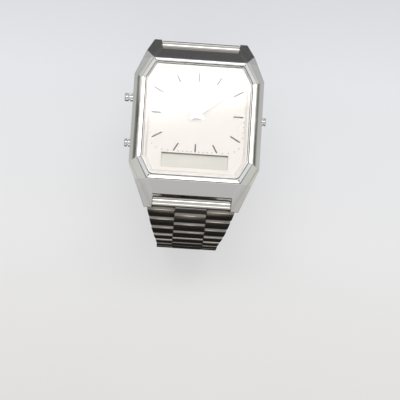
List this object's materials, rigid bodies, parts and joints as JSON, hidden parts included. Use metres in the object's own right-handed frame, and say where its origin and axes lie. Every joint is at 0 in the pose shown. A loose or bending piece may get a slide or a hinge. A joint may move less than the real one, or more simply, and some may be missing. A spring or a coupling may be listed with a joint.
{
  "type": "analogue and digital wristwatch",
  "caption": "Octagonal wristwatch with hands and a small display window, on a tapering folded-link bracelet with a folding clasp.",
  "frame": {"origin": "centre of the case back's outer face, the face that rests on the wrist", "axes": "+Z out of the dial, +Y to twelve o'clock, +X to three o'clock; the closed bracelet hangs to -Z"},
  "size_m": [0.0327, 0.051, 0.0503],
  "materials": {
    "case_plating": "chrome-plated resin, polished ring and satin sides",
    "crystal_glass": "clear mineral glass",
    "seal_rubber": "black rubber",
    "dial_white": "warm white satin lacquer",
    "marker_grey": "dark grey satin bars",
    "frame_resin": "black moulded resin",
    "gear_resin": "natural moulded acetal",
    "gear_brass": "machined brass",
    "hand_steel": "bright polished",
    "magnet": "dark sintered magnet",
    "soft_iron": "stamped soft iron",
    "coil_copper": "enamelled copper wire",
    "bridge_steel": "stamped spring steel",
    "lcd_glass": "grey-green reflective display glass",
    "board_laminate": "green board laminate",
    "part_steel": "drawn steel can and chip cap",
    "cell_steel": "nickel-plated cell can",
    "disc_brass": "rolled brass disc",
    "back_steel": "brushed stainless steel",
    "button_steel": "polished steel",
    "bracelet_steel": "polished folded steel links",
    "clasp_steel": "brushed stamped steel"
  },
  "bodies": {
    "case": {"case_body": "case_plating", "crystal_gasket": "seal_rubber", "crystal": "crystal_glass", "dial_ring": "dial_white", "dial": "dial_white", "hour_markers": "marker_grey", "main_plate": "frame_resin", "stator": "soft_iron", "stepper_coil": "coil_copper", "train_bridge": "bridge_steel", "bridge_screws": "bridge_steel", "lcd_panel": "lcd_glass", "lcd_connector": "seal_rubber", "circuit_board": "board_laminate", "circuit_parts": "part_steel", "battery": "cell_steel", "battery_clamp": "bridge_steel", "buzzer_disc": "disc_brass", "case_back_gasket": "seal_rubber", "case_back": "back_steel", "case_back_screws": "back_steel", "spring_bars": "back_steel", "button_springs": "bridge_steel"},
    "minute": {"centre_wheel": "gear_brass", "minute_hand": "hand_steel"},
    "hour": {"hour_wheel": "gear_resin", "hour_hand": "hand_steel"},
    "minute_work": {"minute_work_wheel": "gear_resin"},
    "third": {"third_wheel": "gear_resin"},
    "rotor": {"rotor": "magnet"},
    "pusher_upper_left": {"pusher_upper_left": "button_steel"},
    "pusher_lower_left": {"pusher_lower_left": "button_steel"},
    "pusher_right": {"pusher_right": "button_steel"},
    "strap_12_end": {"strap_12_end": "bracelet_steel"},
    "strap_12_row_1": {"strap_12_row_1": "bracelet_steel"},
    "strap_12_row_2": {"strap_12_row_2": "bracelet_steel"},
    "strap_12_row_3": {"strap_12_row_3": "bracelet_steel"},
    "strap_12_row_4": {"strap_12_row_4": "bracelet_steel"},
    "strap_12_row_5": {"strap_12_row_5": "bracelet_steel"},
    "strap_12_row_6": {"strap_12_row_6": "bracelet_steel"},
    "strap_12_row_7": {"strap_12_row_7": "bracelet_steel"},
    "strap_12_row_8": {"strap_12_row_8": "bracelet_steel"},
    "strap_12_row_9": {"strap_12_row_9": "bracelet_steel"},
    "strap_12_row_10": {"strap_12_row_10": "bracelet_steel"},
    "strap_6_end": {"strap_6_end": "bracelet_steel"},
    "strap_6_row_1": {"strap_6_row_1": "bracelet_steel"},
    "strap_6_row_2": {"strap_6_row_2": "bracelet_steel"},
    "strap_6_row_3": {"strap_6_row_3": "bracelet_steel"},
    "strap_6_row_4": {"strap_6_row_4": "bracelet_steel"},
    "strap_6_row_5": {"strap_6_row_5": "bracelet_steel"},
    "strap_6_row_6": {"strap_6_row_6": "bracelet_steel"},
    "strap_6_row_7": {"strap_6_row_7": "bracelet_steel"},
    "strap_6_row_8": {"strap_6_row_8": "bracelet_steel"},
    "strap_6_row_9": {"strap_6_row_9": "bracelet_steel"},
    "strap_6_row_10": {"strap_6_row_10": "bracelet_steel"},
    "clasp_cover": {"clasp_cover": "clasp_steel"},
    "clasp_leaf": {"clasp_leaf": "clasp_steel"},
    "strap_6_tail": {"strap_6_tail_rows": "bracelet_steel", "clasp_slider": "clasp_steel"},
    "clasp_lock": {"clasp_lock": "clasp_steel"}
  },
  "joints": [
    {"name": "minute_hand_turn", "type": "hinge", "parent": "case", "child": "minute", "pos_m": [0, 0.0015, 0.004], "axis": [0, 0, -1], "continuous": true},
    {"name": "hour_hand_turn", "type": "hinge", "parent": "case", "child": "hour", "pos_m": [0, 0.0015, 0.004], "axis": [0, 0, -1], "continuous": true},
    {"name": "minute_work_turn", "type": "hinge", "parent": "case", "child": "minute_work", "pos_m": [-0.00288, 0.0015, 0.004], "axis": [0, 0, -1], "continuous": true},
    {"name": "third_turn", "type": "hinge", "parent": "case", "child": "third", "pos_m": [0.00372, 0.00015, 0.004], "axis": [0, 0, -1], "continuous": true},
    {"name": "rotor_turn", "type": "hinge", "parent": "case", "child": "rotor", "pos_m": [0.00648, -0.00217, 0.004], "axis": [0, 0, -1], "continuous": true},
    {"name": "pusher_upper_left_press", "type": "slide", "parent": "case", "child": "pusher_upper_left", "axis": [1, 0, 0], "range_m": [0, 0.0005], "stiffness_N_per_m": 800, "springref_m": -0.0005, "deforming": ["button_springs"]},
    {"name": "pusher_lower_left_press", "type": "slide", "parent": "case", "child": "pusher_lower_left", "axis": [1, 0, 0], "range_m": [0, 0.0005], "stiffness_N_per_m": 800, "springref_m": -0.0005, "deforming": ["button_springs"]},
    {"name": "pusher_right_press", "type": "slide", "parent": "case", "child": "pusher_right", "axis": [-1, 0, 0], "range_m": [0, 0.0005], "stiffness_N_per_m": 800, "springref_m": -0.0005, "deforming": ["button_springs"]},
    {"name": "strap_flex", "type": "hinge", "parent": "case", "child": "strap_12_end", "pos_m": [0, 0.0182, 0.00115], "axis": [1, 0, 0], "range_deg": [-5, 5]},
    {"name": "strap_12_row_1_turn", "type": "hinge", "parent": "strap_12_end", "child": "strap_12_row_1", "pos_m": [0, 0.01889, -0.00143], "axis": [1, 0, 0], "range_deg": [-1.63, 1.63]},
    {"name": "strap_12_row_2_turn", "type": "hinge", "parent": "strap_12_row_1", "child": "strap_12_row_2", "pos_m": [0, 0.01988, -0.00541], "axis": [1, 0, 0], "range_deg": [-1.24, 1.24]},
    {"name": "strap_12_row_3_turn", "type": "hinge", "parent": "strap_12_row_2", "child": "strap_12_row_3", "pos_m": [0, 0.02081, -0.00941], "axis": [1, 0, 0], "range_deg": [-1.03, 1.03]},
    {"name": "strap_12_row_4_turn", "type": "hinge", "parent": "strap_12_row_3", "child": "strap_12_row_4", "pos_m": [0, 0.02166, -0.01342], "axis": [1, 0, 0], "range_deg": [-0.97, 0.97]},
    {"name": "strap_12_row_5_turn", "type": "hinge", "parent": "strap_12_row_4", "child": "strap_12_row_5", "pos_m": [0, 0.02244, -0.01744], "axis": [1, 0, 0], "range_deg": [-1.04, 1.04]},
    {"name": "strap_12_row_6_turn", "type": "hinge", "parent": "strap_12_row_5", "child": "strap_12_row_6", "pos_m": [0, 0.02308, -0.02149], "axis": [1, 0, 0], "range_deg": [-1.24, 1.24]},
    {"name": "strap_12_row_7_turn", "type": "hinge", "parent": "strap_12_row_6", "child": "strap_12_row_7", "pos_m": [0, 0.02337, -0.02558], "axis": [1, 0, 0], "range_deg": [-1.57, 1.57]},
    {"name": "strap_12_row_8_turn", "type": "hinge", "parent": "strap_12_row_7", "child": "strap_12_row_8", "pos_m": [0, 0.02294, -0.02966], "axis": [1, 0, 0], "range_deg": [-1.07, 1.07]},
    {"name": "strap_12_row_9_turn", "type": "hinge", "parent": "strap_12_row_8", "child": "strap_12_row_9", "pos_m": [0, 0.02145, -0.03348], "axis": [1, 0, 0], "range_deg": [-1.07, 1.07]},
    {"name": "strap_12_row_10_turn", "type": "hinge", "parent": "strap_12_row_9", "child": "strap_12_row_10", "pos_m": [0, 0.01868, -0.0365], "axis": [1, 0, 0], "range_deg": [-1.5, 1.5]},
    {"name": "strap_6_end_turn", "type": "hinge", "parent": "case", "child": "strap_6_end", "pos_m": [0, -0.0182, 0.00115], "axis": [-1, 0, 0], "range_deg": [-3.51, 3.51]},
    {"name": "strap_6_row_1_turn", "type": "hinge", "parent": "strap_6_end", "child": "strap_6_row_1", "pos_m": [0, -0.01946, -0.00121], "axis": [-1, 0, 0], "range_deg": [-0.72, 0.72]},
    {"name": "strap_6_row_2_turn", "type": "hinge", "parent": "strap_6_row_1", "child": "strap_6_row_2", "pos_m": [0, -0.02125, -0.0049], "axis": [-1, 0, 0], "range_deg": [-0.72, 0.72]},
    {"name": "strap_6_row_3_turn", "type": "hinge", "parent": "strap_6_row_2", "child": "strap_6_row_3", "pos_m": [0, -0.02286, -0.00867], "axis": [-1, 0, 0], "range_deg": [-0.72, 0.72]},
    {"name": "strap_6_row_4_turn", "type": "hinge", "parent": "strap_6_row_3", "child": "strap_6_row_4", "pos_m": [0, -0.02412, -0.01257], "axis": [-1, 0, 0], "range_deg": [-0.79, 0.79]},
    {"name": "strap_6_row_5_turn", "type": "hinge", "parent": "strap_6_row_4", "child": "strap_6_row_5", "pos_m": [0, -0.0249, -0.0166], "axis": [-1, 0, 0], "range_deg": [-1.16, 1.16]},
    {"name": "strap_6_row_6_turn", "type": "hinge", "parent": "strap_6_row_5", "child": "strap_6_row_6", "pos_m": [0, -0.0254, -0.02066], "axis": [-1, 0, 0], "range_deg": [-1.43, 1.43]},
    {"name": "strap_6_row_7_turn", "type": "hinge", "parent": "strap_6_row_6", "child": "strap_6_row_7", "pos_m": [0, -0.02562, -0.02476], "axis": [-1, 0, 0], "range_deg": [-1.54, 1.54]},
    {"name": "strap_6_row_8_turn", "type": "hinge", "parent": "strap_6_row_7", "child": "strap_6_row_8", "pos_m": [0, -0.02539, -0.02885], "axis": [-1, 0, 0], "range_deg": [-1.56, 1.56]},
    {"name": "strap_6_row_9_turn", "type": "hinge", "parent": "strap_6_row_8", "child": "strap_6_row_9", "pos_m": [0, -0.02425, -0.03279], "axis": [-1, 0, 0], "range_deg": [-1.23, 1.23]},
    {"name": "strap_6_row_10_turn", "type": "hinge", "parent": "strap_6_row_9", "child": "strap_6_row_10", "pos_m": [0, -0.02188, -0.03614], "axis": [-1, 0, 0], "range_deg": [-0.72, 0.72]},
    {"name": "clasp_fold", "type": "hinge", "parent": "strap_12_row_10", "child": "clasp_cover", "pos_m": [0, 0.01494, -0.03817], "axis": [1, 0, 0], "range_deg": [0, 39.86]},
    {"name": "clasp_leaf_turn", "type": "hinge", "parent": "clasp_cover", "child": "clasp_leaf", "pos_m": [0, -0.01449, -0.04017], "axis": [1, 0, 0], "range_deg": [-0.02, 10.45]},
    {"name": "strap_6_tail_turn", "type": "hinge", "parent": "strap_6_row_10", "child": "strap_6_tail", "pos_m": [0, -0.01832, -0.03817], "axis": [-1, 0, 0], "range_deg": [-0.02, 1.96]},
    {"name": "clasp_lock_lift", "type": "hinge", "parent": "strap_6_tail", "child": "clasp_lock", "pos_m": [0, 0.00181, -0.03619], "axis": [1, 0, 0], "range_deg": [0, 75]}
  ],
  "couplings": [
    {"joint": "hour_hand_turn", "follows": "minute_hand_turn", "ratio": 0.083333},
    {"joint": "minute_work_turn", "follows": "minute_hand_turn", "ratio": -0.33333},
    {"joint": "third_turn", "follows": "minute_hand_turn", "ratio": -10},
    {"joint": "rotor_turn", "follows": "minute_hand_turn", "ratio": 90},
    {"joint": "strap_12_row_1_turn", "follows": "strap_flex", "ratio": -0.32228},
    {"joint": "strap_12_row_2_turn", "follows": "strap_flex", "ratio": -0.24449},
    {"joint": "strap_12_row_3_turn", "follows": "strap_flex", "ratio": -0.20237},
    {"joint": "strap_12_row_4_turn", "follows": "strap_flex", "ratio": -0.18953},
    {"joint": "strap_12_row_5_turn", "follows": "strap_flex", "ratio": -0.20374},
    {"joint": "strap_12_row_6_turn", "follows": "strap_flex", "ratio": -0.2445},
    {"joint": "strap_12_row_7_turn", "follows": "strap_flex", "ratio": -0.30925},
    {"joint": "strap_12_row_8_turn", "follows": "strap_flex", "ratio": 0.2096},
    {"joint": "strap_12_row_9_turn", "follows": "strap_flex", "ratio": 0.20958},
    {"joint": "strap_12_row_10_turn", "follows": "strap_flex", "ratio": 0.29699},
    {"joint": "strap_6_end_turn", "follows": "strap_flex", "ratio": 0.69733},
    {"joint": "strap_6_row_1_turn", "follows": "strap_flex", "ratio": -0.14},
    {"joint": "strap_6_row_2_turn", "follows": "strap_flex", "ratio": -0.14},
    {"joint": "strap_6_row_3_turn", "follows": "strap_flex", "ratio": -0.14},
    {"joint": "strap_6_row_4_turn", "follows": "strap_flex", "ratio": -0.15351},
    {"joint": "strap_6_row_5_turn", "follows": "strap_flex", "ratio": -0.22744},
    {"joint": "strap_6_row_6_turn", "follows": "strap_flex", "ratio": -0.28168},
    {"joint": "strap_6_row_7_turn", "follows": "strap_flex", "ratio": -0.30464},
    {"joint": "strap_6_row_8_turn", "follows": "strap_flex", "ratio": 0.3071},
    {"joint": "strap_6_row_9_turn", "follows": "strap_flex", "ratio": 0.24283},
    {"joint": "strap_6_row_10_turn", "follows": "strap_flex", "ratio": 0.14},
    {"joint": "clasp_leaf_turn", "follows": "clasp_fold", "ratio": 0.26154},
    {"joint": "strap_6_tail_turn", "follows": "clasp_fold", "ratio": 0.048691}
  ]
}
